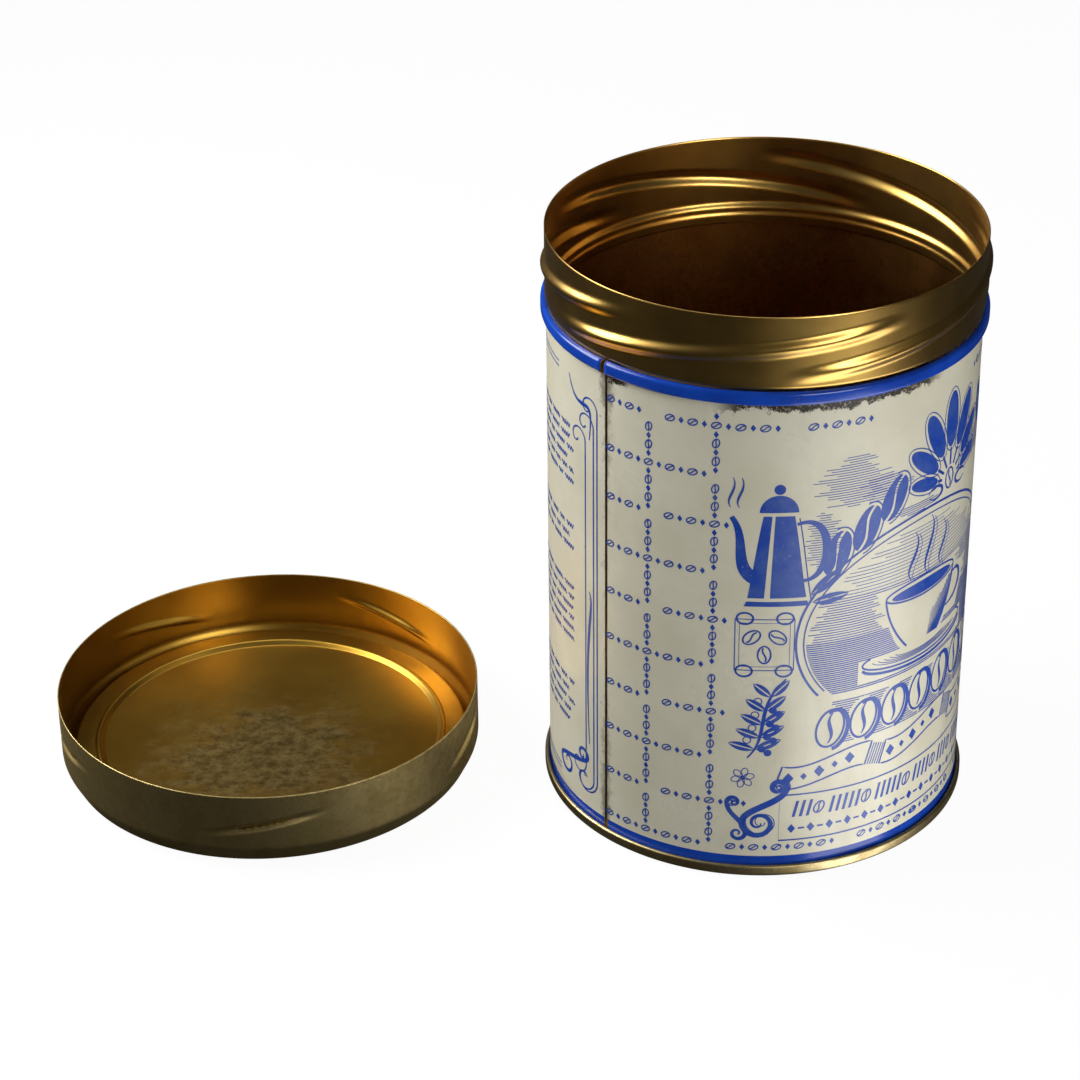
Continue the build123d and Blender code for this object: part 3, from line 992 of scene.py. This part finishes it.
def print_palmette():
    """Fan of seven rounded plumes over two small curls, with an open bean at its root."""
    ink = Ink("print_palmette")
    x, z = 7.6, 95.4
    for k in range(7):
        turn = 12.0 + 26.0 * k
        a = math.radians(turn)
        length = 13.0 + 10.0 * math.sin(a)
        middle = (x + 0.66 * length * math.cos(a), z + 0.66 * length * math.sin(a))
        plume = ellipse(*middle, 0.31 * length, 0.115 * length, turn, count=30)
        ink.shape(plume)
        halo = ellipse(*middle, 0.31 * length + 0.9, 0.115 * length + 0.8, turn, count=30)
        ink.line(halo, 0.28, closed=True)
        ink.line([(x + 3.4 * math.cos(a), z + 3.4 * math.sin(a)),
                  (x + 0.34 * length * math.cos(a), z + 0.34 * length * math.sin(a))], 0.7)
    ink.open_bean(x, z, 2.6, 1.7, 90.0, 0.5)
    for flip in (-1, 1):
        curl = ellipse(x - 5.6, z - 1.6, 2.6, 1.6, start=-150.0, end=170.0, count=26)
        ink.line([(x + flip * (cx - x), cz) for cx, cz in curl], swell(26, 0.9, 0.3))
    ink.wrap()


def print_title():
    """Arch of bold beans rising to the palmette and falling beyond it."""
    arch = Ink("print_bean_arch")
    for k in range(3):
        bold_bean(arch, -26.0 + 7.2 * k, 86.6 + 4.6 * k + 0.4 * k * k, 5.8, 3.1, 74.0 - 4.0 * k)
        bold_bean(arch, 27.0 + 7.5 * k, 106.0 - 2.8 * k - 0.6 * k * k, 5.6, 3.0, 98.0 + 5.0 * k)
    arch.wrap()


def print_sky():
    """Clouds of level engraved lines round the arch."""
    cloud = Ink("print_sky_hatch")
    draw = random.Random(5)
    for cx, cz, rx, rz, pitch in (
        (-22.0, 104.0, 10.5, 7.0, 0.62),
        (-14.0, 101.0, 8.0, 3.5, 0.62),
        (-29.0, 90.0, 5.0, 8.0, 0.62),
        (-5.0, 92.4, 10.0, 1.6, 0.55),
        (25.0, 98.5, 12.0, 4.0, 0.62),
    ):
        rows = [cz - rz + pitch * k for k in range(int(2.0 * rz / pitch) + 1)]
        cloud.hatch(rows, lambda z: oval_chord(z, cx, cz, rx, rz), 0.20, draw, 0.5 * rx)
    cloud.wrap()


def oval_chord(z, cx, cz, rx, rz):
    rise = min(abs(z - cz) / rz, 1.0)
    half = rx * math.sqrt(1.0 - rise * rise)
    return [(cx - half, cx + half)]


def row_bean(k):
    """Centre of a bean of the large row."""
    return -26.0 + 8.6 * k, 39.8 + 0.75 * k


def bean_row_chord(z):
    """Ends of a level line of the ground round the large beans."""
    ends = []
    low = -24.0 - 0.5 * abs(z - 41.0)
    for k in range(ROW_BEANS):
        x, centre = row_bean(k)
        rise = (z - centre) / 5.9
        half = 4.3 * math.sqrt(1.0 - rise * rise) if abs(rise) < 1.0 else 0.0
        ends.append((low, x - half))
        low = max(low, x + half)
    return ends + [(low, 31.5)]


def print_bean_row():
    """Row of large cream beans on shaded ground, across the foot of the medallion."""
    row = Ink("print_bean_row")
    steps = [-0.86 + 1.72 * i / 12 for i in range(13)]
    slit = [(4.8 * t, 0.8 * math.sin(math.pi * t)) for t in steps]
    for k in range(ROW_BEANS):
        x, z = row_bean(k)
        row.line(ellipse(x, z, 5.1, 3.4, BEAN_LEAN, count=36), 0.6, closed=True)
        shadow = ellipse(x + 0.7, z - 0.5, 5.4, 3.7, BEAN_LEAN, start=-165.0, end=35.0, count=28)
        row.line(shadow, 1.1)
        row.line(turned_to(slit, x, z, BEAN_LEAN), swell(13, 1.0, 0.3))
    row.hatch([35.4 + 0.60 * k for k in range(20)], bean_row_chord, 0.28, random.Random(13), 0.3)
    row.wrap()


def scribble(ink, start, end, slope=0.0, height=0.62, width=0.34, wave=1.05):
    """Wavy pen line that stands for a word."""
    count = max(4, int((end[0] - start[0]) / wave * 6))
    points = []
    for k in range(count + 1):
        t = k / count
        x = start[0] + (end[0] - start[0]) * t
        z = start[1] + (end[1] - start[1]) * t
        phase = 2.0 * math.pi * (x - start[0]) / wave
        points.append((x + slope * math.sin(phase), z + height * math.sin(phase)))
    ink.line(points, width)


def print_ribbon():
    """Folded ribbon rising to the right, with lozenges where a motto would be."""
    ink = Ink("print_ribbon")
    for x, z in ((-39.0, 24.4), (-12.4, 26.2), (14.2, 26.6)):
        lower = bezier((x, z), (x + 7.0, z - 2.0), (x + 15.0, z + 4.6), (x + 22.5, z + 3.0), 18)
        upper = moved(lower, 1.8, 6.0)
        ink.line(lower + upper[::-1], 0.45, closed=True)
        for k in range(5):
            cx, cz = lower[2 + 3 * k][0] + 0.9, lower[2 + 3 * k][1] + 3.0
            ink.lozenge(cx, cz, 0.8 if k % 2 else 1.3, 1.0 if k % 2 else 1.6)
        for k in range(7):
            t = k / 6
            low = (lower[-1][0] + 4.1 * t, lower[-1][1] - 1.2 * t)
            ink.line([low, (low[0] + 1.8, low[1] + 5.4)], 0.30)
    ink.wrap()


def rectangle(left, right, low, high):
    return [(left, low), (right, low), (right, high), (left, high)]


def print_plaque():
    """Small framed plaque of three beans, with two rings on its top edge and two on its foot."""
    plaque = Ink("print_plaque")
    left, right, low, high = -49.0, -35.4, 57.0, 70.6
    plaque.line(rectangle(left, right, low, high), 0.34, closed=True)
    plaque.line(rectangle(left + 1.0, right - 1.0, low + 1.0, high - 1.0), 0.20, closed=True)
    for z, side in ((low, -1), (high, 1)):
        for flip in (-1, 1):
            centre = (left + right) / 2.0
            curl = ellipse(centre + flip * 4.6, z + side * 0.2, 1.9, 1.5, count=24)
            plaque.line(curl, 0.5, closed=True)
    for k, x in enumerate((-45.2, -39.2)):
        plaque.open_bean(x, 65.8, 2.3, 1.5, 40.0 + 100.0 * k, 0.42)
    plaque.open_bean(-42.2, 61.2, 2.3, 1.5, 90.0, 0.42)
    plaque.wrap()


def print_sprig():
    """Coffee branch with leaves and cherries."""
    sprig = Ink("print_sprig")
    stem = bezier((-45.5, 33.0), (-40.0, 39.0), (-44.5, 47.0), (-37.0, 54.6), 24)
    sprig.line(stem, swell(25, 0.9, 0.35))
    for k, spot in enumerate((3, 7, 11, 15, 19)):
        x, z = stem[spot]
        reach = 6.2 - 0.5 * k
        sprig.leaf((x, z), (x - reach, z + 1.6 + 0.5 * k), 1.5)
        sprig.leaf((x, z), (x + reach, z + 2.8 + 0.4 * k), 1.5)
        if k < 4:
            sprig.shape(ellipse(x + 1.7, z + 0.2, 0.95, 0.95, count=16))
            sprig.shape(ellipse(x + 3.1, z - 0.9, 0.95, 0.95, count=16))
            sprig.line(ellipse(x - 1.8, z + 2.6, 0.9, 0.9, count=16), 0.3, closed=True)
    sprig.wrap()


def print_curls():
    """Two scrolls at the foot of the label and a flower over them."""
    curls = Ink("print_curls")
    big = s_scroll((-42.4, 14.6), (-38.0, 24.6), 4.0, 2.0, flip=-1, turns=1.5)
    curls.line(big, swell(len(big), 1.7, 0.4))
    curls.line(moved(big, 0.9, 0.3), 0.26)
    small = s_scroll((-47.4, 11.6), (-48.4, 20.4), 1.9, 1.6, flip=1, turns=1.2)
    curls.line(small, swell(len(small), 1.2, 0.35))
    flower = (-46.4, 27.4)
    for k in range(6):
        turn = 60.0 * k + 15.0
        a = math.radians(turn)
        x, z = flower[0] + 1.5 * math.cos(a), flower[1] + 1.5 * math.sin(a)
        curls.line(ellipse(x, z, 1.3, 0.8, turn, count=14), 0.24, closed=True)
    curls.wrap()


def print_foot_panel():
    """Ruled panel at the foot of the label, with a row of slanted bars over a row of lozenges."""
    ink = Ink("print_foot_panel")
    left, right, low, high = -37.6, 38.2, 9.6, 22.4
    ink.line(rectangle(left, right, low, high), 0.42, closed=True)
    draw = random.Random(21)
    x = left + 3.0
    while x < right - 6.0:
        word = draw.uniform(4.0, 9.0)
        stop = min(x + word, right - 3.0)
        while x < stop:
            ink.shape([(x, 16.1), (x + 0.75, 16.1), (x + 1.75, 20.6), (x + 1.0, 20.6)])
            x += 1.7
        ink.open_bean(x + 1.5, 18.2, 1.7, 1.1, 60.0, 0.4)
        x += 3.9
    x = left + 3.0
    while x < right - 2.0:
        ink.lozenge(x, 12.8, 0.95, 1.3)
        ink.line([(x + 1.6, 12.8), (x + 3.1, 12.8)], 0.5)
        x += 4.7
    ink.wrap()


def print_back_frame():
    """Whiplash frame of doubled lines round the panel behind."""
    ink = Ink("print_back_frame", BACK_AT)
    for flip in (1, -1):
        for k, edge in enumerate((73.4, 72.1, 69.0)):
            low = 13.0 + 3.4 * (k == 2)
            post = s_scroll((edge - 4.6 + 0.6 * k, low), (edge - 3.4, 114.0 - 4.5 * k), 4.6 - 0.6 * k, 3.4,
                            flip=1, turns=0.9, side=-1)
            ink.line([(flip * x, z) for x, z in post], 0.42)
        whip = bezier((62.0, 119.6), (66.0, 108.0), (73.0, 121.5), (70.6, 106.0), 24)
        ink.line([(flip * x, z) for x, z in whip], swell(25, 1.1, 0.3))
        tail = bezier((70.4, 66.0), (72.8, 62.0), (68.2, 58.0), (70.4, 23.5), 24)
        ink.line([(flip * x, z) for x, z in tail], swell(25, 0.9, 0.3))
        foot = s_scroll((60.0, 13.0), (67.5, 19.0), 3.6, 2.2, flip=-1, turns=1.1)
        ink.line([(flip * x, z) for x, z in foot], swell(len(foot), 1.2, 0.3))
    for z in (8.4, 9.7, 118.6, 119.9):
        ink.line([(-56.0, z), (56.0, z)], 0.36)
    ink.wrap()


def print_back_badge():
    """Oval with a branch and loose beans, in the middle of the panel behind."""
    badge = Ink("print_back_badge", BACK_AT)
    badge.line(ellipse(0.0, 66.0, 20.0, 26.0, count=90), 0.55, closed=True)
    badge.line(ellipse(0.0, 66.0, 18.4, 24.4, count=90), 0.30, closed=True)
    stem = bezier((-6.0, 46.0), (-2.0, 56.0), (-4.0, 70.0), (3.0, 84.0), 24)
    badge.line(stem, swell(25, 1.1, 0.4))
    for k, spot in enumerate((4, 9, 14, 19)):
        x, z = stem[spot]
        badge.leaf((x, z), (x - 11.0 + k, z + 4.0), 2.9)
        badge.leaf((x, z), (x + 11.0 - k, z + 6.0), 2.9)
    for x, z, tilt in ((8.0, 50.5, 30.0), (1.6, 47.8, 110.0), (-9.5, 55.0, 70.0)):
        badge.bean(x, z, 3.0, 2.0, tilt)
    badge.wrap()


def print_back_lines():
    """Blocks of wavy lines on the panel behind, where it would carry directions."""
    ink = Ink("print_back_lines", BACK_AT)
    draw = random.Random(8)
    for top, count in ((106.0, 6), (80.0, 3), (63.5, 6), (37.0, 5)):
        for k in range(count):
            z = top - 2.8 * k
            inner = 24.0 if 40.0 < z < 92.0 else 6.0
            for flip in (1, -1):
                last = 63.8 - (draw.uniform(2.0, 20.0) if k == count - 1 and flip < 0 else 0.0)
                x = inner
                while x < last - 2.0:
                    stop = min(x + draw.uniform(2.4, 7.0), last)
                    if flip > 0:
                        scribble(ink, (x, z), (stop, z))
                    else:
                        scribble(ink, (-stop, z), (-x, z))
                    x = stop + 1.2
    ink.wrap()


def print_design():
    Ink.material = printed_ink()
    print_lattice()
    print_pot()
    print_palmette()
    print_title()
    print_sky()
    print_medallion()
    print_bean_row()
    print_ribbon()
    print_plaque()
    print_sprig()
    print_curls()
    print_foot_panel()
    print_back_frame()
    print_back_badge()
    print_back_lines()


make_camera()
make_lights()
make_floor()
build_tin()
build_lid()
print_design()
bpy.context.scene.view_settings.view_transform = "Standard"
